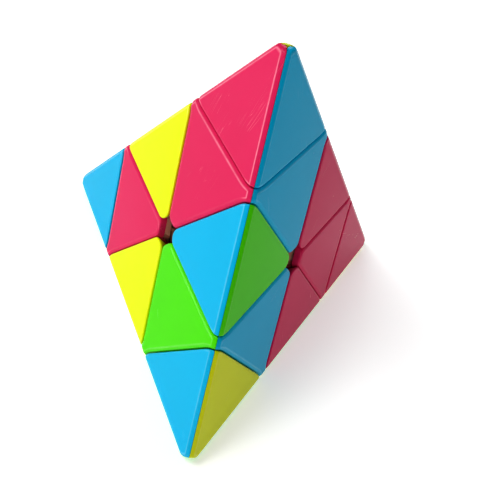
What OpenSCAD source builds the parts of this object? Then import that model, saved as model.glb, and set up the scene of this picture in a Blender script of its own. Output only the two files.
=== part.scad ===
// Pyramid twisty puzzle: a tetrahedron whose four layers and four tips turn.
// Four axial pieces are screwed to a four-armed core with a spring under each
// screw head. Six edge pieces are held by feet that reach under the axials,
// and four tips snap into the ends of the axials. Every piece carries one
// coloured cap for each outer face that it shows.
// The part rests on one face at z = 0, with a corner straight above it.

/* [Body] */
// Side of the tetrahedron between its sharp corners, before rounding
edge_len = 104; // [102:1:107]
// Radius that the ridges are rounded to
ridge_r = 1.4; // [1:0.1:1.8]
// How much of each sharp corner is cut off, along its axis
corner_cut = 4.6; // [4:0.1:5.2]
// Clearance between neighbouring pieces
gap = 0.4; // [0.3:0.05:0.5]
// Opening left around each face's centre, measured from the centre
hole_r = 3.2; // [2.8:0.1:3.6]

/* [Cuts] */
// Tip cut, as a part of the side from the corner
tip_cut = 0.334; // [0.331:0.001:0.337]
// Layer cut, as a part of the side from the corner
layer_cut = 0.666; // [0.664:0.001:0.668]

/* [Caps] */
// Thickness of a cap on its outer face
skin = 2; // [1.6:0.1:2.4]
// Thickness of a cap's side walls
wall = 1.5; // [1.2:0.1:1.8]
// How far a cap's side walls reach in from the outer face
cap_depth = 6; // [5:0.5:7]
// Seam between neighbouring caps on one piece
seam = 0.05; // [0.03:0.01:0.1]

/* [Mechanism] */
// Radius of the ball that the edge feet slide in
ball_r = 17; // [16.8:0.1:17.4]
// Outer radius of an axial's hub
hub_r = 7.5; // [7.2:0.1:7.6]
// Radius of the core's arms
arm_r = 4; // [3.8:0.1:4]
// Outer radius of the coil springs
spring_r = 3.1; // [2.9:0.1:3.2]
// Wire radius of the coil springs
wire_r = 0.4; // [0.3:0.05:0.45]
// Turns in each coil spring
spring_turns = 5; // [4:1:6]
// Radius of the tip's peg
peg_r = 3.8; // [3.7:0.05:3.8]

/* [Hidden] */
$fn = 96;
TOP = 0;
FRONT = 1;
RIGHT = 2;
LEFT = 3;
CORNERS = [TOP, FRONT, RIGHT, LEFT];
CORNER_NAMES = ["top", "front", "right", "left"];
CORNER_AZ = [0, -90, 30, 150];
// Edge pieces, each named by the two corners that its ridge joins
EDGES = [[TOP, LEFT], [TOP, FRONT], [TOP, RIGHT], [FRONT, RIGHT], [RIGHT, LEFT], [LEFT, FRONT]];
EDGE_NAMES = ["top_left", "top_front", "top_right", "front_right", "left_right", "front_left"];

PINK = "pink";
BLUE = "blue";
YELLOW = "yellow";
GREEN = "green";
PAINT = [[PINK, "#e8305f"], [BLUE, "#16a6e0"], [YELLOW, "#e9f200"], [GREEN, "#3fd018"]];
INNER_PAINT = "#a87468";
STEEL_PAINT = "#b8bcc0";
// Cap colour by corner, and by the corner that the cap's face lies opposite
TIP_COLOURS = [
    ["", YELLOW, PINK, BLUE],
    [GREEN, "", BLUE, YELLOW],
    [YELLOW, GREEN, "", PINK],
    [GREEN, PINK, BLUE, ""],
];
AXIAL_COLOURS = [
    ["", YELLOW, PINK, BLUE],
    [YELLOW, "", GREEN, BLUE],
    [YELLOW, GREEN, "", PINK],
    [BLUE, GREEN, PINK, ""],
];
// Cap colour by edge, and by the corner that the cap's face lies opposite
EDGE_COLOURS = [
    ["", GREEN, YELLOW, ""],
    ["", "", BLUE, GREEN],
    ["", BLUE, "", PINK],
    [GREEN, "", "", PINK],
    [PINK, YELLOW, "", ""],
    [BLUE, "", YELLOW, ""],
];

function others(used) = [for (c = CORNERS) if (len(search(c, used)) == 0) c];
function axial_hub_name(c) = str(CORNER_NAMES[c], "_axial_hub");
function axial_cap_name(c, f) = str(CORNER_NAMES[c], "_axial_cap_", AXIAL_COLOURS[c][f]);
function tip_peg_name(c) = str(CORNER_NAMES[c], "_tip_peg");
function tip_cap_name(c, f) = str(CORNER_NAMES[c], "_tip_cap_", TIP_COLOURS[c][f]);
function edge_foot_name(e) = str(EDGE_NAMES[e], "_edge_foot");
function edge_cap_name(e, f) = str(EDGE_NAMES[e], "_edge_cap_", EDGE_COLOURS[e][f]);

// Distances along a corner's axis, from the centre of the tetrahedron
height = edge_len * sqrt(2 / 3);
corner_s = height * 3 / 4;
face_s = height / 4;
tip_s = corner_s - tip_cut * height;
layer_s = corner_s - layer_cut * height;
corner_end_s = corner_s - corner_cut;
// Middle of a ridge from the centre, after its rounding
ridge_mid = edge_len * sqrt(2) / 4 - ridge_r * (sqrt(3) - 1);
// Solid larger than the part, which half spaces are cut from
reach = 2 * edge_len;

// Inside the ball a layer ends in a cone that clears the other three hubs
cone_slope = sqrt(2) / 4;
cone_tilt = atan(cone_slope);
cone_s = (hub_r + 0.85 * gap) / cos(cone_tilt);
cone_shift = gap / 2 / cos(cone_tilt);
// Where that cone meets the ball, and the side of a foot that stays below it
cone_rim_r = cos(cone_tilt) * (cone_s * sin(cone_tilt) + sqrt(pow(ball_r, 2) - pow(cone_s * cos(cone_tilt), 2)));
cone_rim_s = cone_s - cone_slope * cone_rim_r;
foot_side_s = cone_rim_s - gap;

// Places and sizes along each axis, from the core outwards
core_r = 7.2;
screw_low_s = 6;
hub_low_s = 8.2;
floor_low_s = 13.2;
floor_top_s = 15.2;
cavity_low_s = 20;
head_low_s = 24;
washer_t = 0.6;
head_t = 2.2;
plate_s = tip_s - gap / 2 - 2.4;
peg_end_s = plate_s - 1.8;
shaft_r = 1.5;
shaft_clear = 0.1;
floor_clear = 0.3;
arm_clear = 0.25;
washer_r = 3.6;
head_r = 3.2;
pocket_r = 4.2;
cavity_r = 6;
peg_clear = 0.2;
snap_r = 4.3;
slot_len = 3.6;
slot_w = 0.8;
slot_depth = 1.3;
spring_fit = 0.05;
wire_sides = 6;
turn_steps = 10;

function axis_of(c) = c == TOP ? [0, 0, 1]
    : [sqrt(8) / 3 * cos(CORNER_AZ[c]), sqrt(8) / 3 * sin(CORNER_AZ[c]), -1 / 3];
function unit(v) = v / norm(v);
// Direction in the face opposite corner f, from its centre towards corner c
function in_face(c, f) = unit(3 * axis_of(c) + axis_of(f));
function paint(name) = [for (p = PAINT) if (p[0] == name) p[1]][0];
function right_handed(a, b, c) = cross(axis_of(a), axis_of(b)) * axis_of(c) > 0;

// Turns +Z to the direction v
module facing(v) {
    rotate([0, acos(v[2] / norm(v)), atan2(v[1], v[0])]) children();
}

// Half space on the far side of the plane at distance s along v
module beyond(v, s) {
    facing(v) translate([-reach / 2, -reach / 2, s]) cube(reach);
}

// Half space on the near side of the plane at distance s along v
module within(v, s) {
    facing(v) translate([-reach / 2, -reach / 2, s - reach]) cube(reach);
}

// A cylinder along corner c's axis
module on_axis(c, r, low, high) {
    facing(axis_of(c)) translate([0, 0, low]) cylinder(r = r, h = high - low);
}

// Everything is drawn around the tetrahedron's centre, then lifted onto z = 0
module lifted() {
    translate([0, 0, face_s]) children();
}

// Each kind of piece is drawn once, at the top corner with its second corner
// in front. This turns it about the centre to corner a, with its second at b.
module turned_to(a, b) {
    up = axis_of(a);
    ahead = unit(axis_of(b) - (axis_of(b) * up) * up);
    across = cross(up, ahead);
    lifted() multmatrix([for (i = [0 : 2]) [ahead[i], across[i], up[i], 0]])
        rotate([0, 0, -CORNER_AZ[FRONT]]) children();
}

// ---- tips ----

// A tip's outline, with its outer faces moved in by inset
module tip_outline(inset) {
    intersection() {
        beyond(axis_of(TOP), tip_s + gap / 2);
        intersection_for (f = others([TOP])) beyond(axis_of(f), inset - face_s);
    }
}

module tip_cap_shape() {
    difference() {
        intersection() {
            tip_outline(0);
            within(axis_of(TOP), corner_end_s);
            intersection_for (o = others([TOP])) within(unit(axis_of(TOP) + axis_of(o)), ridge_mid);
            within(unit(axis_of(FRONT) - axis_of(RIGHT)), -seam / 2);
            within(unit(axis_of(FRONT) - axis_of(LEFT)), -seam / 2);
        }
        tip_outline(skin);
    }
}

module tip_cap(c, f) {
    color(paint(TIP_COLOURS[c][f])) turned_to(c, f) tip_cap_shape();
}

// The body inside the caps, with a peg that snaps into the axial's end plate
module tip_peg(c) {
    color(INNER_PAINT) turned_to(c, others([c])[0]) union() {
        tip_outline(skin);
        rotate_extrude() polygon([
            [0, peg_end_s], [peg_r - 0.6, peg_end_s], [snap_r, plate_s - 0.9],
            [snap_r, plate_s - 0.5], [peg_r, plate_s - 0.1], [peg_r, tip_s + 1], [0, tip_s + 1],
        ]);
    }
}

// ---- axials ----

// An axial's outline, with its sides moved in by side and its faces by depth
module axial_outline(side, depth) {
    intersection() {
        within(axis_of(TOP), tip_s - gap / 2);
        beyond(axis_of(TOP), layer_s + gap / 2 + side);
        intersection_for (o = others([TOP])) within(axis_of(o), layer_s - gap / 2 - side);
        intersection_for (f = others([TOP])) beyond(axis_of(f), depth - face_s);
        intersection_for (f = others([TOP])) beyond(in_face(TOP, f), hole_r + side);
    }
}

module axial_cap_shape() {
    difference() {
        intersection() {
            axial_outline(0, 0);
            intersection_for (o = others([TOP])) within(unit(axis_of(TOP) + axis_of(o)), ridge_mid);
            within(unit(axis_of(FRONT) - axis_of(RIGHT)), -seam / 2);
            within(unit(axis_of(FRONT) - axis_of(LEFT)), -seam / 2);
            within(axis_of(FRONT), cap_depth - face_s);
        }
        axial_outline(wall, skin);
        sphere(ball_r + gap / 2);
    }
}

module axial_cap(c, f) {
    color(paint(AXIAL_COLOURS[c][f])) turned_to(c, f) axial_cap_shape();
}

// The body inside the caps, on a hub that turns on the core's arm
module axial_hub(c) {
    color(INNER_PAINT) turned_to(c, others([c])[0]) difference() {
        union() {
            difference() {
                union() {
                    axial_outline(wall, skin);
                    axial_outline(0, cap_depth);
                }
                sphere(ball_r + gap / 2);
            }
            on_axis(TOP, hub_r, hub_low_s, cavity_low_s);
        }
        on_axis(TOP, arm_r + arm_clear, hub_low_s - 1, floor_low_s);
        on_axis(TOP, shaft_r + floor_clear, floor_low_s - 1, floor_top_s + 1);
        on_axis(TOP, pocket_r, floor_top_s, cavity_low_s + 1);
        on_axis(TOP, cavity_r, cavity_low_s, plate_s);
        on_axis(TOP, peg_r + peg_clear, plate_s - 1, tip_s);
    }
}

// ---- edges ----

// The outline of the edge between the top and front corners
module edge_outline(side, depth) {
    intersection() {
        beyond(axis_of(TOP), layer_s + gap / 2 + side);
        beyond(axis_of(FRONT), layer_s + gap / 2 + side);
        beyond(axis_of(RIGHT), depth - face_s);
        beyond(axis_of(LEFT), depth - face_s);
        within(in_face(LEFT, RIGHT), -hole_r - side);
        within(in_face(RIGHT, LEFT), -hole_r - side);
    }
}

module edge_cap_shape() {
    difference() {
        intersection() {
            edge_outline(0, 0);
            within(unit(axis_of(TOP) + axis_of(FRONT)), ridge_mid);
            within(unit(axis_of(RIGHT) - axis_of(LEFT)), -seam / 2);
            within(axis_of(RIGHT), cap_depth - face_s);
        }
        edge_outline(wall, skin);
        sphere(ball_r + gap / 2);
    }
}

module edge_cap(e, f) {
    ends = right_handed(EDGES[e][0], EDGES[e][1], f) == right_handed(TOP, FRONT, RIGHT)
        ? EDGES[e] : [EDGES[e][1], EDGES[e][0]];
    color(paint(EDGE_COLOURS[e][f])) turned_to(ends[0], ends[1]) edge_cap_shape();
}

// Above the cone that ends corner c's layer inside the ball
module above_cone(c) {
    low = cone_s + cone_shift;
    far = reach / 4;
    facing(axis_of(c)) rotate_extrude()
        polygon([[0, low], [far, low - cone_slope * far], [far, far], [0, far]]);
}

// The body inside the caps, with a foot that reaches under both axials
module edge_foot(e) {
    color(INNER_PAINT) turned_to(EDGES[e][0], EDGES[e][1]) union() {
        difference() {
            union() {
                edge_outline(wall, skin);
                edge_outline(0, cap_depth);
            }
            intersection() {
                sphere(ball_r + gap / 2);
                union() {
                    beyond(axis_of(RIGHT), foot_side_s);
                    beyond(axis_of(LEFT), foot_side_s);
                }
            }
        }
        intersection() {
            sphere(ball_r - gap / 2);
            above_cone(TOP);
            above_cone(FRONT);
            within(axis_of(RIGHT), foot_side_s);
            within(axis_of(LEFT), foot_side_s);
        }
    }
}

// ---- core and fasteners ----

module core() {
    color(INNER_PAINT) lifted() difference() {
        union() {
            rotate([20, 35, 0]) sphere(core_r);
            for (c = CORNERS) on_axis(c, arm_r, core_r - 2, floor_low_s - 0.2);
        }
        for (c = CORNERS) on_axis(c, shaft_r + shaft_clear, screw_low_s - 1, floor_low_s);
    }
}

module axis_screws() {
    head_top = head_low_s + head_t;
    color(STEEL_PAINT) lifted() for (c = CORNERS) difference() {
        union() {
            on_axis(c, shaft_r, screw_low_s, head_low_s + 1);
            on_axis(c, head_r, head_low_s, head_top);
        }
        facing(axis_of(c)) for (turn = [0, 90])
            rotate(turn) translate([-slot_len / 2, -slot_w / 2, head_top - slot_depth])
                cube([slot_len, slot_w, slot_depth + 1]);
    }
}

module axis_washers() {
    color(STEEL_PAINT) lifted() for (c = CORNERS) difference() {
        on_axis(c, washer_r, head_low_s - washer_t, head_low_s);
        on_axis(c, shaft_r + shaft_clear, head_low_s - washer_t - 1, head_low_s + 1);
    }
}

// A round wire coiled up +Z, from low to high
module coil(low, high) {
    mean_r = spring_r - wire_r;
    steps = spring_turns * turn_steps;
    rise = (high - low - 2 * wire_r) / steps;
    points = [for (i = [0 : steps]) for (k = [0 : wire_sides - 1])
        let (a = i * 360 / turn_steps, b = k * 360 / wire_sides, r = mean_r + wire_r * cos(b))
        [r * cos(a), r * sin(a), low + wire_r + rise * i + wire_r * sin(b)]];
    walls = [for (i = [0 : steps - 1]) for (k = [0 : wire_sides - 1])
        let (n = (k + 1) % wire_sides, at = i * wire_sides)
        [at + k, at + wire_sides + k, at + wire_sides + n, at + n]];
    start = [for (k = [0 : wire_sides - 1]) k];
    end = [for (k = [wire_sides - 1 : -1 : 0]) steps * wire_sides + k];
    polyhedron(points, concat([start], walls, [end]));
}

module axis_springs() {
    color(STEEL_PAINT) lifted() for (c = CORNERS)
        facing(axis_of(c)) coil(floor_top_s + spring_fit, head_low_s - washer_t - spring_fit);
}

core();
axis_screws();
axis_washers();
axis_springs();
for (c = CORNERS) {
    axial_hub(c);
    tip_peg(c);
    for (f = others([c])) {
        axial_cap(c, f);
        tip_cap(c, f);
    }
}
for (e = [0 : len(EDGES) - 1]) {
    edge_foot(e);
    for (f = others(EDGES[e])) {
        edge_cap(e, f);
    }
}
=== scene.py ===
"""Looks for the pyramid twisty puzzle: coloured caps, plastics, metal, floor, light and camera.

The CAD caps are plain shells. Each one is replaced here with a cap of the same outline, whose ridges
are bevelled, whose borders lean and are rounded, and whose cuts curl up to meet the ridges squarely.
Caps are worked out in millimetres round the tetrahedron's centre, and then placed in the frame in metres.
"""

import math

import bpy
import numpy as np
from mathutils import Matrix, Vector


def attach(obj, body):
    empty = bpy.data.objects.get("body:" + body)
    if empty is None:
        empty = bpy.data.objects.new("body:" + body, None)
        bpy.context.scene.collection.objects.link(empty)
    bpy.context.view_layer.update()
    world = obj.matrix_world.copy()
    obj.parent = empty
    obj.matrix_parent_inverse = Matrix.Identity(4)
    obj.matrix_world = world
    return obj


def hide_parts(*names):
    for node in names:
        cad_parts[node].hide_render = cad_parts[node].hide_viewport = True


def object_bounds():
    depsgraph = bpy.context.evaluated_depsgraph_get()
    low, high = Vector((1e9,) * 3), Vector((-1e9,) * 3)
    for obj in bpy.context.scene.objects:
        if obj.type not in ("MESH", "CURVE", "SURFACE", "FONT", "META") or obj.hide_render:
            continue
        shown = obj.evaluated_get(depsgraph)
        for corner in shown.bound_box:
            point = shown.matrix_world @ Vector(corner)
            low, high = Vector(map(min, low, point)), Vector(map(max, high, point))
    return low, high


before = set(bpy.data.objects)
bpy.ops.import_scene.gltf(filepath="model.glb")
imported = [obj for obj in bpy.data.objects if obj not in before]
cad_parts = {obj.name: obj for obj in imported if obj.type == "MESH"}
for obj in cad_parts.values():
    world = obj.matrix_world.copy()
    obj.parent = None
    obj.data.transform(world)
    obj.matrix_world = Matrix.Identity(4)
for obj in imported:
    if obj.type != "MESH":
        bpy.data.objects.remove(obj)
cad_box = [list(corner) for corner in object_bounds()]

MM = 0.001

# ---- the tetrahedron, in millimetres from its centre ----

# How round the CAD's ridges are
RIDGE_R = 1.4
# Here each ridge is two narrow flats that touch a circle of this radius, with creases this round
RIDGE_FLAT_R = 1.69
CREASE_R = 0.75
# How much of each sharp corner the CAD cuts off, and how round that is left
CORNER_CUT = 4.6
CORNER_R = 1.5
HEIGHT = cad_box[1][2] / MM + CORNER_CUT
EDGE_LEN = HEIGHT / math.sqrt(2 / 3)
CORNER_S = HEIGHT * 3 / 4
FACE_S = HEIGHT / 4
# The cuts, as the CAD places them
TIP_CUT = 0.334
LAYER_CUT = 0.666
TIP_S = CORNER_S - TIP_CUT * HEIGHT
LAYER_S = CORNER_S - LAYER_CUT * HEIGHT
HOLE_R = 3.2
# Dot product of the outward directions of two faces
FACE_COS = -1 / 3
# The same for a blunt corner and the faces and ridges round it, between 1/3 and 0.58
CORNER_COS = 0.4
# The same for the hole's side and a layer's cut
HOLE_COS = math.sqrt(2) / 3
# Distance from a ridge to a corner's axis grows by this much for each millimetre down the axis
RIDGE_SLOPE = math.sqrt(1 / 2)
# Distance from a face's centre to its corners
FACE_RADIUS = EDGE_LEN / math.sqrt(3)
# The crests of the CAD's ridges would meet on an axis here, and would be this long
CREST_S = CORNER_S - RIDGE_R * (3 - math.sqrt(3))
CREST_LEN = EDGE_LEN * CREST_S / CORNER_S

# Directions from the centre to the corners. Three of them lean out from the upright by this much
FOOT_SPREAD = math.sqrt(8) / 3
AXIS = {"top": np.array([0.0, 0.0, 1.0])}
for corner_name, azimuth in {"front": -90, "right": 30, "left": 150}.items():
    turn = math.radians(azimuth)
    AXIS[corner_name] = np.array([FOOT_SPREAD * math.cos(turn), FOOT_SPREAD * math.sin(turn), -1 / 3])

# ---- cap details, in millimetres ----

# Half the gap between turning pieces, and between two caps on one piece
HALF_GAP = 0.15
HALF_SEAM = 0.04
# Near a ridge each cut curls up along an arc of this radius, until it meets the ridge squarely.
# The arc goes on a little further, and then the cut is level again
RIM_ARC = 5.5
RIM_RUN = RIM_ARC / math.sqrt(3)
RIM_END = 1.3 * RIM_RUN
TIP_RIM_R = (CREST_S - TIP_S) * RIDGE_SLOPE
LAYER_RIM_R = (CREST_S - LAYER_S) * RIDGE_SLOPE
# A cap's border: the width and lean of its flat, the rounding of its edge, and how deep its rows go
BORDER_RUN = {"tip": 0.5, "axial": 0.75, "edge": 0.55}
BORDER_LEAN = math.radians(18)
BORDER_EDGE_R = 0.4
BORDER_DEPTH = 0.8
# Where the dot product of the outside's and a cut's directions is past this, the border is worked
# out as if it were this
SIDE_COS_LIMIT = 0.8
# How strong the highlight painted along the crease is, on the first rows of the border
CREASE_HIGHLIGHT = (0.5, 1.0, 1.0, 0.4)
# The share of that painted highlight on borders between two caps of one face
SAME_FACE_HIGHLIGHT = 0.1
# The painted highlight is full this far from the next face or from a tip, and fades over the last distance
RIDGE_HIGHLIGHT_REACH = 1.5 * RIDGE_FLAT_R
TIP_HIGHLIGHT_REACH = 1.0
HIGHLIGHT_FADE = 1.5
# Rounding of a cap's corner at the face's centre, and of other corners in plan
CENTRE_R = 3.0
HOLE_EDGE_R = 1.5
PLAN_R = 0.8
# The skin under the face, the side walls and the least that is left of them, and the least step
# down from the skin to their feet
SKIN = 1.9
WALL = 1.45
LEAST_WALL = 0.3
WALL_STEP = 0.05
# How deep the walls reach on a layer's side, and beside the hole at a face's centre
WALL_DEPTH = 5.95
HOLE_DEPTH = 2.1
# The ball that the edge feet slide in, which the walls stop at
BALL_R = 17.3
# The flat part of the face has a ring at this share of the way out, and one this far from its end
INNER_RING = 0.55
LAST_RING = 0.25

# Points round a cap, rows down its rounded border, and rows down its wall
AROUND = 168
BORDER_ROWS = 10
WALL_ROWS = 3
# The outline is traced at this many angles and this depth. Its turns then draw the points round the
# cap together, by this much against its length
TRACE_STEPS = 1440
TRACE_DEPTH = 0.3
TURN_WEIGHT = 1.6
# How often a search for the cap's side or a wall's foot halves its range
REACH_HALVINGS = 34
DEPTH_HALVINGS = 26
# A depth that stands for none
TINY = 1e-6
# Creases sharper than this are shaded as edges
SHARP_ANGLE = math.radians(30)


def unit(v):
    return v / np.linalg.norm(v)


def below_face(points, face):
    """Depth under the face that lies opposite a corner."""
    return points @ AXIS[face] + FACE_S


def past_cut(points, corner, cut_s, rim_r):
    """Distance past a corner's cut, towards the corner. The cut is flat, then curls up near the ridges."""
    s = points @ AXIS[corner]
    r = np.linalg.norm(points - s[..., None] * AXIS[corner], axis=-1)
    run = np.clip(r - rim_r + RIM_RUN, 0, RIM_END)
    drop = np.sqrt(RIM_ARC**2 - run**2)
    return (s - cut_s - RIM_ARC + drop) * drop / RIM_ARC


def past_tip_cut(points, corner):
    return past_cut(points, corner, TIP_S, TIP_RIM_R)


def past_layer_cut(points, corner):
    return past_cut(points, corner, LAYER_S, LAYER_RIM_R)


def rounded(a, b, radius, cosine):
    """Distance past two surfaces with a rounded meeting. cosine is between their outward directions."""
    a, b = a + radius, b + radius
    both = (a > cosine * b) & (b > cosine * a)
    meeting = np.sqrt(np.maximum(a * a + b * b - 2 * a * b * cosine, 0) / (1 - cosine**2))
    return np.where(both, meeting, np.maximum(a, b)) - radius


def bevelled(a, b, radius, cosine):
    """Distance past two surfaces that meet over two narrow flats, with rounded creases between them."""
    turn = np.arccos(cosine)
    lean = turn / 4
    near, far = np.sin(turn - lean) / np.sin(turn), np.sin(lean) / np.sin(turn)
    lift = radius * (near + far - 1)
    first, second = near * a + far * b + lift, far * a + near * b + lift
    creases = [
        rounded(a, first, CREASE_R, np.cos(lean)),
        rounded(first, second, CREASE_R, np.cos(2 * lean)),
        rounded(second, b, CREASE_R, np.cos(lean)),
    ]
    return np.max(creases, axis=0)


def edged(a, b, run, cosine):
    """Distance past a face and a cap's side, with a narrow leaning flat and a rounded edge between."""
    turn = np.arccos(cosine)
    near, far = np.sin(turn - BORDER_LEAN) / np.sin(turn), np.sin(BORDER_LEAN) / np.sin(turn)
    flat = near * a + far * (b + run)
    crease = rounded(a, flat, CREASE_R, math.cos(BORDER_LEAN))
    return np.maximum(crease, rounded(flat, b, BORDER_EDGE_R, np.cos(turn - BORDER_LEAN)))


def past_faces(points, faces):
    """Distance past the outer faces, with the ridges between them bevelled."""
    past = [-below_face(points, face) for face in faces]
    pairs = [(i, j) for i in range(len(past)) for j in range(i)]
    return np.max([bevelled(past[i], past[j], RIDGE_FLAT_R, FACE_COS) for i, j in pairs], axis=0)


def direction_in_face(corner, face):
    """Direction in a face, from its centre towards one of its corners."""
    return unit(3 * AXIS[corner] + AXIS[face])


def slopes(function, points, step=1e-4):
    """The function's unit gradient at each point."""
    here = function(points)
    rise = np.stack([function(points + step * side) - here for side in np.eye(3)], axis=-1)
    return rise / np.maximum(np.linalg.norm(rise, axis=-1, keepdims=True), 1e-12)


# The rings of each kind of cap, worked out once
SHAPES = {}


class Cap:
    """One coloured cap: the kind of piece it is on, that piece's corners, and the face that it covers."""

    def __init__(self, kind, corners, face):
        self.kind, self.corners, self.face = kind, corners, face
        # The remaining corners. The faces opposite them meet this one on the same piece
        self.others = [c for c in AXIS if c not in corners and c != face]
        self.outward = -AXIS[face]
        if kind == "edge":
            self.ahead = -direction_in_face(self.others[0], face)
            centre = FACE_RADIUS / 3
        else:
            self.ahead = direction_in_face(corners[0], face)
            centre = FACE_RADIUS * (1 - TIP_CUT)
        if kind == "axial":
            centre = FACE_RADIUS * (1 - 1.5 * TIP_CUT) * 2 / 3
        self.middle = self.outward * FACE_S + self.ahead * centre
        self.across = np.cross(self.outward, self.ahead)

    def past_sides(self, points):
        """Distance past the cuts at the cap's sides."""
        if self.kind == "tip":
            return HALF_GAP - past_tip_cut(points, self.corners[0])
        if self.kind == "edge":
            sides = [HALF_GAP - past_layer_cut(points, corner) for corner in self.corners]
        else:
            sides = [HALF_GAP + past_layer_cut(points, corner) for corner in self.others]
        both = rounded(sides[0], sides[1], CENTRE_R, FACE_COS)
        both = rounded(both, HOLE_R - points @ self.ahead, HOLE_EDGE_R, HOLE_COS)
        if self.kind == "axial":
            both = rounded(both, HALF_GAP + past_tip_cut(points, self.corners[0]), PLAN_R, FACE_COS)
        return both

    def past_outside(self, points):
        """Distance past the piece's outer surface and sides, with the border between them rounded."""

        def outer(places):
            past = past_faces(places, [self.face] + self.others)
            if self.kind != "tip":
                return past
            past_corner = places @ AXIS[self.corners[0]] - CORNER_S + CORNER_CUT
            return rounded(past, past_corner, CORNER_R, CORNER_COS)

        cosine = (slopes(outer, points) * slopes(self.past_sides, points)).sum(axis=-1)
        cosine = np.clip(cosine, -SIDE_COS_LIMIT, SIDE_COS_LIMIT)
        return edged(outer(points), self.past_sides(points), BORDER_RUN[self.kind], cosine)

    def past_seams(self, points):
        """Distance past the seams with the caps on the faces beside this one."""
        own = below_face(points, self.face)
        seams = [own - below_face(points, face) for face in self.others]
        return np.max(seams, axis=0) / math.sqrt(2 - 2 * FACE_COS) + HALF_SEAM

    def past_all(self, points):
        return np.maximum(self.past_outside(points), self.past_seams(points))

    def past_inner_wall(self, points):
        return self.past_sides(points) + WALL

    def place(self, angles, distance, depth):
        """Points at an angle round the cap's middle, a distance from it and a depth under the face."""
        around = np.cos(angles)[:, None] * self.ahead + np.sin(angles)[:, None] * self.across
        return self.middle + distance[:, None] * around - depth[:, None] * self.outward

    def local(self, angles, distance, depth):
        """The same points in the cap's own directions: ahead, across and outward."""
        return np.stack([np.cos(angles) * distance, np.sin(angles) * distance, -depth], axis=-1)

    def reach(self, angles, depth, past):
        """How far out the cap goes at each angle and depth, before past() is more than 0."""
        near, far = np.zeros(len(angles)), np.full(len(angles), EDGE_LEN / 2)
        for _ in range(REACH_HALVINGS):
            half = (near + far) / 2
            outside = past(self.place(angles, half, depth)) > 0
            near, far = np.where(outside, near, half), np.where(outside, half, far)
        return near

    def spread_angles(self):
        """Angles round the cap, closer together where its outline turns."""
        angles = np.linspace(0, math.tau, TRACE_STEPS, endpoint=False)
        level = np.full(len(angles), TRACE_DEPTH)
        outline = self.place(angles, self.reach(angles, level, self.past_all), level)
        step = np.roll(outline, -1, axis=0) - outline
        length = np.linalg.norm(step, axis=1)
        heading = step / length[:, None]
        turning = np.arccos(np.clip((heading * np.roll(heading, -1, axis=0)).sum(axis=1), -1, 1))
        weight = length / length.sum() + TURN_WEIGHT * turning / turning.sum()
        share = np.concatenate([[0], np.cumsum(weight)]) / weight.sum()
        return np.interp((np.arange(AROUND) + 0.5) / AROUND, share, np.append(angles, math.tau))

    def wall_ends(self, angles):
        """Depth at which the outer surface meets a seam or the ball, or the walls' full depth."""
        low, high = np.full(len(angles), TINY), np.full(len(angles), WALL_DEPTH)
        for _ in range(DEPTH_HALVINGS):
            half = (low + high) / 2
            points = self.place(angles, self.reach(angles, half, self.past_outside), half)
            ended = (self.past_seams(points) > 0) | (np.linalg.norm(points, axis=1) < BALL_R)
            if self.kind == "axial":
                ended |= (past_tip_cut(points, self.corners[0]) > -2 * HALF_GAP) & (half > SKIN)
            if self.kind == "tip":
                ended |= half > SKIN + WALL_STEP
            else:
                ended |= (points @ self.ahead < HOLE_R + HOLE_EDGE_R) & (half > HOLE_DEPTH)
            low, high = np.where(ended, low, half), np.where(ended, half, high)
        return low

    def highlight_share(self, points):
        """How much highlight is painted on each point of the border: most at ridges and beside a tip."""
        near = np.min([below_face(points, face) for face in self.others], axis=0) - RIDGE_HIGHLIGHT_REACH
        if self.kind == "axial":
            near = np.minimum(near, -past_tip_cut(points, self.corners[0]) - TIP_HIGHLIGHT_REACH)
        return np.clip(1 - near / HIGHLIGHT_FADE, SAME_FACE_HIGHLIGHT, 1)

    def rings(self):
        """Rings of points from the middle of the face round to the inside, and the highlight painted at
        each point.
        """
        angles = self.spread_angles()
        ends = self.wall_ends(angles)
        turned_under = np.minimum(ends, BORDER_DEPTH)
        bottom = np.maximum(ends, SKIN + WALL_STEP)
        depths = []
        for row in range(BORDER_ROWS + 1):
            lean = math.pi / 2 * row / BORDER_ROWS
            depths.append(np.maximum(turned_under * (1 - math.cos(lean)), TINY))
        for row in range(1, WALL_ROWS + 1):
            depths.append(turned_under + (bottom - turned_under) * row / WALL_ROWS)
        reaches = [self.reach(angles, depth, self.past_all) for depth in depths]

        under = np.full(len(angles), SKIN)
        skin_reach = self.reach(angles, under, self.past_all)
        inner_low = np.minimum(self.reach(angles, bottom, self.past_inner_wall), reaches[-1] - LEAST_WALL)
        inner_high = np.minimum(self.reach(angles, under, self.past_inner_wall), skin_reach - LEAST_WALL)
        level = np.zeros(len(angles))
        rows = [(reaches[0] * INNER_RING, level), (reaches[0] - LAST_RING, level), (reaches[0], level)]
        rows += list(zip(reaches[1:], depths[1:]))
        rows += [(inner_low, bottom), (inner_high, under)]
        share = self.highlight_share(self.place(angles, reaches[0], level))
        # A highlight is painted on the crease rows, strongest where share is
        wear_and_highlight = [0.0, 0.0] + list(CREASE_HIGHLIGHT) + [0.0] * (len(rows) - 2 - len(CREASE_HIGHLIGHT))
        wear_and_highlight = np.concatenate([row * share for row in wear_and_highlight])
        return [self.local(angles, reach, depth) for reach, depth in rows], wear_and_highlight

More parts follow.
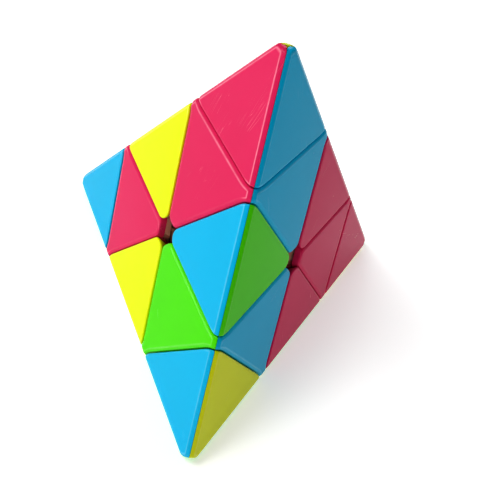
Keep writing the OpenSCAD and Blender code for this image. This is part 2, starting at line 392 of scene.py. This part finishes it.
    def mesh(self, name):
        """The cap as a closed mesh in metres, in the frame. Its points carry two values for the plastic:
        where they lie along the face, and how much highlight is painted on them along the crease."""
        if self.kind not in SHAPES:
            SHAPES[self.kind] = self.rings()
        rings, wear_and_highlight = SHAPES[self.kind]
        local = np.vstack([[[0, 0, 0]]] + rings + [[[0, 0, -SKIN]]])
        points = self.middle + local @ np.array([self.ahead, self.across, self.outward])
        points[:, 2] += FACE_S
        last, last_ring = len(points) - 1, 1 + (len(rings) - 1) * AROUND
        faces = []
        for i in range(AROUND):
            n = (i + 1) % AROUND
            faces.append((0, 1 + i, 1 + n))
            for row in range(len(rings) - 1):
                here, after = 1 + row * AROUND, 1 + (row + 1) * AROUND
                faces.append((here + i, after + i, after + n, here + n))
            faces.append((last_ring + i, last, last_ring + n))
        mesh = bpy.data.meshes.new(name)
        mesh.from_pydata((points * MM).tolist(), [], faces)
        mesh.update()
        flat = mesh.attributes.new("flat", "FLOAT_VECTOR", "POINT")
        flat.data.foreach_set("vector", ((local + self.middle) * MM).astype(np.float32).ravel())
        # The highlight painted along the crease, kept on the points as the border value
        painted_highlight = mesh.attributes.new("border", "FLOAT", "POINT")
        painted_highlight.data.foreach_set("value", np.concatenate([[0.0], wear_and_highlight, [0.0]]).astype(np.float32))
        mesh.shade_smooth()
        mesh.set_sharp_from_angle(angle=SHARP_ANGLE)
        return mesh


# ---- materials ----

# Scratches on the coloured plastic: their directions in the face, in degrees, and how fine they are
MARKS = ((20, 1500), (75, 1100), (-50, 1900))
# How much the scratches are stretched, and the patches that they come in
MARK_STRETCH = (0.03, 1, 0.3)
MARK_PATCH_STRETCH = (0.45, 1, 1)
PATCH_SCALE = 130
PATCH_EDGE = 0.05
# How high each material's bumps are, in metres
PLASTIC_BUMP = 0.00006
INNER_BUMP = 0.00008
STEEL_BUMP = 0.00004
# The plastics reflect less than glossy ones do
PLASTIC_SPECULAR = 0.15


class Nodes:
    """A material's node tree, with short calls to add and join nodes."""

    def __init__(self, name):
        self.material = bpy.data.materials.new(name)
        self.material.use_nodes = True
        self.tree = self.material.node_tree
        self.shader = self.tree.nodes["Principled BSDF"]

    def add(self, kind, **settings):
        node = self.tree.nodes.new(kind)
        for key, value in settings.items():
            setattr(node, key, value)
        return node

    def put(self, socket, value):
        """Join a socket to another, or set its value."""
        if isinstance(value, bpy.types.NodeSocket):
            self.tree.links.new(value, socket)
        else:
            socket.default_value = value

    def shade(self, **inputs):
        """Set the shader's own sockets. A _ in a name stands for a space."""
        for key, value in inputs.items():
            self.put(self.shader.inputs[key.replace("_", " ")], value)

    def math(self, operation, a, b=0.0):
        node = self.add("ShaderNodeMath", operation=operation)
        self.put(node.inputs[0], a)
        self.put(node.inputs[1], b)
        return node.outputs[0]

    def times(self, a, b):
        return self.math("MULTIPLY", a, b)

    def between(self, value, low, high, start=0.0, end=1.0):
        """value from low..high stretched to start..end, and held there outside it."""
        node = self.add("ShaderNodeMapRange", clamp=True)
        for socket, number in zip(node.inputs[:5], (value, low, high, start, end)):
            self.put(socket, number)
        return node.outputs[0]

    def mix(self, share, a, b):
        node = self.add("ShaderNodeMix", data_type="RGBA")
        for socket, value in zip((node.inputs[0], node.inputs[6], node.inputs[7]), (share, a, b)):
            self.put(socket, value)
        return node.outputs[2]

    def mapped(self, where, turn, stretch):
        mapping = self.add("ShaderNodeMapping")
        self.put(mapping.inputs["Vector"], where)
        mapping.inputs["Rotation"].default_value = [math.radians(a) for a in turn]
        mapping.inputs["Scale"].default_value = stretch
        return mapping.outputs[0]

    def coordinates(self, turn=(0, 0, 0), stretch=(1, 1, 1)):
        """The object's own coordinates, turned by degrees and stretched."""
        return self.mapped(self.add("ShaderNodeTexCoord").outputs["Object"], turn, stretch)

    def along_face(self, turn, stretch):
        """Coordinates that lie along each cap's own face, turned in it and stretched."""
        where = self.add("ShaderNodeAttribute", attribute_name="flat").outputs["Vector"]
        return self.mapped(where, (0, 0, turn), stretch)

    def noise(self, where, scale, detail=2.0, roughness=0.5):
        node = self.add("ShaderNodeTexNoise")
        self.put(node.inputs["Vector"], where)
        node.inputs["Scale"].default_value = scale
        node.inputs["Detail"].default_value = detail
        node.inputs["Roughness"].default_value = roughness
        return node.outputs["Fac"]

    def bump(self, height, strength, distance):
        node = self.add("ShaderNodeBump")
        node.inputs["Strength"].default_value = strength
        node.inputs["Distance"].default_value = distance
        self.put(node.inputs["Height"], height)
        return node.outputs[0]


def scratches(nodes, where, patchy, scale, width, amount):
    """Thin scratches along the stretched coordinates, in patches. 1 on a scratch and 0 elsewhere."""
    lines = nodes.noise(where, scale, detail=0.0)
    line = nodes.between(nodes.math("ABSOLUTE", nodes.math("SUBTRACT", lines, 0.5)), 0, width, 1, 0)
    patches = nodes.noise(patchy, PATCH_SCALE, 2.0, 0.6)
    return nodes.times(line, nodes.between(patches, 1 - amount, 1 - amount + PATCH_EDGE))


def handling_marks(nodes, wear_and_highlight):
    """The coloured plastic's scratches, in all of their directions."""
    marks = 0.0
    for turn, scale in MARKS:
        lines, patchy = nodes.along_face(turn, MARK_STRETCH), nodes.along_face(turn, MARK_PATCH_STRETCH)
        some = scratches(nodes, lines, patchy, scale, width=0.01, amount=0.30 + 0.05 * wear_and_highlight)
        marks = nodes.math("MAXIMUM", marks, some)
    return marks


def scattered_specks(nodes, where, wear_and_highlight):
    """Small round specks, at a few of the points that a cell pattern scatters."""
    dots = nodes.add("ShaderNodeTexVoronoi")
    nodes.put(dots.inputs["Vector"], where)
    dots.inputs["Scale"].default_value = 420
    chosen = nodes.between(dots.outputs["Color"], 0.93 - 0.05 * wear_and_highlight, 0.95 - 0.05 * wear_and_highlight)
    return nodes.times(nodes.between(dots.outputs["Distance"], 0.05, 0.11, 1, 0), chosen)


def coloured_plastic(name, colour, shade, pale, wear_and_highlight):
    """Satin moulded plastic with handling marks, and a highlight painted along its creases in the pale
    cast.
    shade and pale are its darker and lighter casts.
    """
    nodes = Nodes(name)
    here = nodes.coordinates()
    clouds = nodes.noise(here, 38, 3.0, 0.55)
    grain = nodes.noise(here, 2600, 2.0, 0.6)
    marks = handling_marks(nodes, wear_and_highlight)
    specks = scattered_specks(nodes, here, wear_and_highlight)
    # A highlight painted along each cap's crease in the pale cast, broken up by noise so that it looks
    # rubbed
    border = nodes.add("ShaderNodeAttribute", attribute_name="border").outputs["Fac"]
    uneven = nodes.between(nodes.noise(here, 240, 4.0, 0.65), 0.25, 0.6, 0.45, 1)
    painted_highlight = nodes.times(border, uneven)
    base = nodes.mix(nodes.between(clouds, 0.3, 0.7, 0, 0.35), (*colour, 1), (*shade, 1))
    base = nodes.mix(nodes.times(marks, 0.2 + 0.2 * wear_and_highlight), base, (*pale, 1))
    # Paints the crease highlight, stronger on the more marked plastics
    base = nodes.mix(nodes.times(painted_highlight, 0.2 + 0.5 * wear_and_highlight), base, (*pale, 1))
    base = nodes.mix(nodes.times(specks, 0.5), base, (*shade, 1))
    rough = nodes.between(clouds, 0.3, 0.7, 0.19, 0.26)
    rough = nodes.math("ADD", rough, nodes.times(marks, 0.25))
    rough = nodes.math("ADD", rough, nodes.times(specks, 0.3))
    height = nodes.math("ADD", nodes.times(grain, 0.12), nodes.times(clouds, 0.8))
    height = nodes.math("SUBTRACT", height, nodes.times(marks, 0.35))
    nodes.shade(Base_Color=base, Roughness=rough, Normal=nodes.bump(height, 0.35, PLASTIC_BUMP))
    nodes.shade(Specular_IOR_Level=PLASTIC_SPECULAR)
    return nodes.material


def inner_plastic():
    """Dull moulded plastic inside the puzzle, with grease, dust and rubbed patches."""
    nodes = Nodes("inner_plastic")
    here = nodes.coordinates()
    patches = nodes.noise(here, 160, 4.0, 0.6)
    dust = nodes.noise(here, 1700, 3.0, 0.7)
    lines = nodes.coordinates((10, 50, 20), (0.05, 1, 0.4))
    rubbed = scratches(nodes, lines, here, 700, width=0.03, amount=0.45)
    base = nodes.mix(nodes.between(patches, 0.35, 0.65), (0.86, 0.50, 0.36, 1), (0.72, 0.40, 0.28, 1))
    base = nodes.mix(nodes.between(dust, 0.6, 0.75, 0, 0.5), base, (0.88, 0.64, 0.52, 1))
    base = nodes.mix(nodes.times(rubbed, 0.4), base, (0.80, 0.50, 0.38, 1))
    rough = nodes.between(patches, 0.35, 0.65, 0.38, 0.62)
    height = nodes.math("ADD", dust, nodes.times(rubbed, -0.5))
    nodes.shade(Base_Color=base, Roughness=rough, Normal=nodes.bump(height, 0.4, INNER_BUMP))
    return nodes.material


def steel(name, tint, dark, low_rough, high_rough):
    """Drawn or turned steel, with fine lines and a few stained patches."""
    nodes = Nodes(name)
    lines = nodes.noise(nodes.coordinates(stretch=(1, 1, 12)), 1500, 3.0, 0.6)
    stains = nodes.noise(nodes.coordinates(), 500, 3.0, 0.6)
    base = nodes.mix(nodes.between(stains, 0.5, 0.68), (*tint, 1), (*dark, 1))
    rough = nodes.between(lines, 0.3, 0.7, low_rough, high_rough)
    nodes.shade(Base_Color=base, Roughness=rough, Normal=nodes.bump(lines, 0.3, STEEL_BUMP))
    nodes.shade(Metallic=1.0)
    return nodes.material


# Each plastic's colour, its darker and lighter casts, and how marked it is. The lighter cast also paints
# the highlight along the creases, and the last number sets how strong that painted highlight is
PLASTIC_LOOKS = {
    "pink": ((0.71, 0.026, 0.135), (0.64, 0.018, 0.105), (0.92, 0.34, 0.44), 1.0),
    "blue": ((0.0, 0.49, 0.77), (0.0, 0.43, 0.69), (0.30, 0.72, 0.92), 0.3),
    "yellow": ((0.76, 0.86, 0.0), (0.69, 0.79, 0.0), (0.92, 0.96, 0.35), 0.1),
    "green": ((0.10, 0.74, 0.0), (0.08, 0.66, 0.0), (0.42, 0.86, 0.30), 0.2),
}
PLASTICS = {colour: coloured_plastic(colour + "_plastic", *look) for colour, look in PLASTIC_LOOKS.items()}
INNER_PLASTIC = inner_plastic()
SCREW_STEEL = steel("screw_steel", (0.62, 0.62, 0.63), (0.35, 0.33, 0.30), 0.22, 0.42)
SPRING_STEEL = steel("spring_steel", (0.50, 0.51, 0.53), (0.30, 0.29, 0.28), 0.28, 0.45)
METAL = {"axis_screws": SCREW_STEEL, "axis_washers": SCREW_STEEL, "axis_springs": SPRING_STEEL}

# ---- pieces ----

scene = bpy.context.scene

for name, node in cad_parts.items():
    piece, _, colour = name.partition("_cap_")
    if not colour:
        node.data.materials.clear()
        node.data.materials.append(METAL.get(name, INNER_PLASTIC))
        continue
    *corners, kind = piece.split("_")
    # The cap's face is the nearest one, of those opposite the piece's other corners
    centre = np.mean([v.co for v in node.data.vertices], axis=0) / MM - np.array([0, 0, FACE_S])
    face = min((c for c in AXIS if c not in corners), key=lambda c: below_face(centre, c))
    mesh = Cap(kind, corners, face).mesh(name + "_mesh")
    cap = bpy.data.objects.new(name.replace("_cap_", "_face_"), mesh)
    scene.collection.objects.link(cap)
    mesh.materials.append(PLASTICS[colour])
    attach(cap, piece)
    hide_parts(name)

# ---- floor, light and camera ----

FLOOR_SIDE = 6.0
# Just under the resting face, so that the two don't share a plane
FLOOR_Z = -0.0001
side = FLOOR_SIDE / 2
floor_mesh = bpy.data.meshes.new("floor")
floor_corners = [(x * side, y * side, FLOOR_Z) for x, y in ((-1, -1), (1, -1), (1, 1), (-1, 1))]
floor_mesh.from_pydata(floor_corners, [], [(0, 1, 2, 3)])
floor = bpy.data.objects.new("floor", floor_mesh)
scene.collection.objects.link(floor)
# White paper that glows a little, so that it comes out as white as the photograph's background
paper = Nodes("floor_paper")
fibres = paper.noise(paper.coordinates(), 400, 3.0, 0.6)
paper.shade(Base_Color=paper.mix(fibres, (0.90, 0.90, 0.90, 1), (0.93, 0.93, 0.93, 1)))
paper.shade(Roughness=0.8, Specular_IOR_Level=0.1)
paper.shade(Emission_Color=(0.93, 1, 0.99, 1), Emission_Strength=0.42)
floor_mesh.materials.append(paper.material)

world = bpy.data.worlds.new("studio")
scene.world = world
world.use_nodes = True
backdrop = world.node_tree.nodes["Background"]
backdrop.inputs["Color"].default_value = (1.0, 0.95, 0.95, 1)
backdrop.inputs["Strength"].default_value = 0.14


def area_light(name, place, size, power, colour=(1, 1, 1)):
    """A soft light at a place in metres, of a width and height, facing the puzzle's middle."""
    light = bpy.data.lights.new(name, "AREA")
    light.shape = "RECTANGLE"
    light.size, light.size_y = size
    light.energy = power
    light.color = colour
    lamp = bpy.data.objects.new(name, light)
    lamp.location = place
    lamp.rotation_mode = "QUATERNION"
    lamp.rotation_quaternion = (Vector((0, 0, FACE_S * MM)) - Vector(place)).to_track_quat("-Z", "Y")
    scene.collection.objects.link(lamp)


# A low, wide window on the left, whose image runs along the creases, a lamp high on the left,
# a warm light beside the camera that reaches into the seams and holes, and one for the back
area_light("window", (-1.06, -0.26, 0.075), (0.90, 0.08), 4.4)
area_light("lamp", (-0.72, 0.06, 0.98), (0.40, 0.40), 6.4)
area_light("front", (0.08, -0.97, 0.86), (0.30, 0.30), 3.9, (1.0, 0.84, 0.86))
area_light("back", (0.10, 1.15, 0.75), (0.80, 0.80), 6.0)

# The camera's place in crest lengths from the puzzle's centre, and where it looks, in degrees
CAMERA_AT = (-0.1158, -1.0116, 1.1287)
LOOK_RIGHT = 8.345
LOOK_DOWN = 48.158
ROLL = 18.427
# The lens, as a focal length in pixels of a square frame with this many a side
FRAME_SIDE = 480
FOCAL_PIXELS = 546.4
SENSOR_MM = 36
camera_data = bpy.data.cameras.new("camera")
camera_data.sensor_width = SENSOR_MM
camera_data.lens = SENSOR_MM * FOCAL_PIXELS / FRAME_SIDE
camera_data.clip_start = 0.01
camera_data.clip_end = 20
camera = bpy.data.objects.new("camera", camera_data)
camera.matrix_world = (
    Matrix.Translation(Vector(CAMERA_AT) * CREST_LEN * MM + Vector((0, 0, FACE_S * MM)))
    @ Matrix.Rotation(math.radians(-LOOK_RIGHT), 4, "Z")
    @ Matrix.Rotation(math.radians(90 - LOOK_DOWN), 4, "X")
    @ Matrix.Rotation(math.radians(ROLL), 4, "Z")
)
scene.collection.objects.link(camera)
scene.camera = camera

scene.view_settings.view_transform = "Standard"
scene.view_settings.gamma = 0.8

bpy.context.view_layer.update()
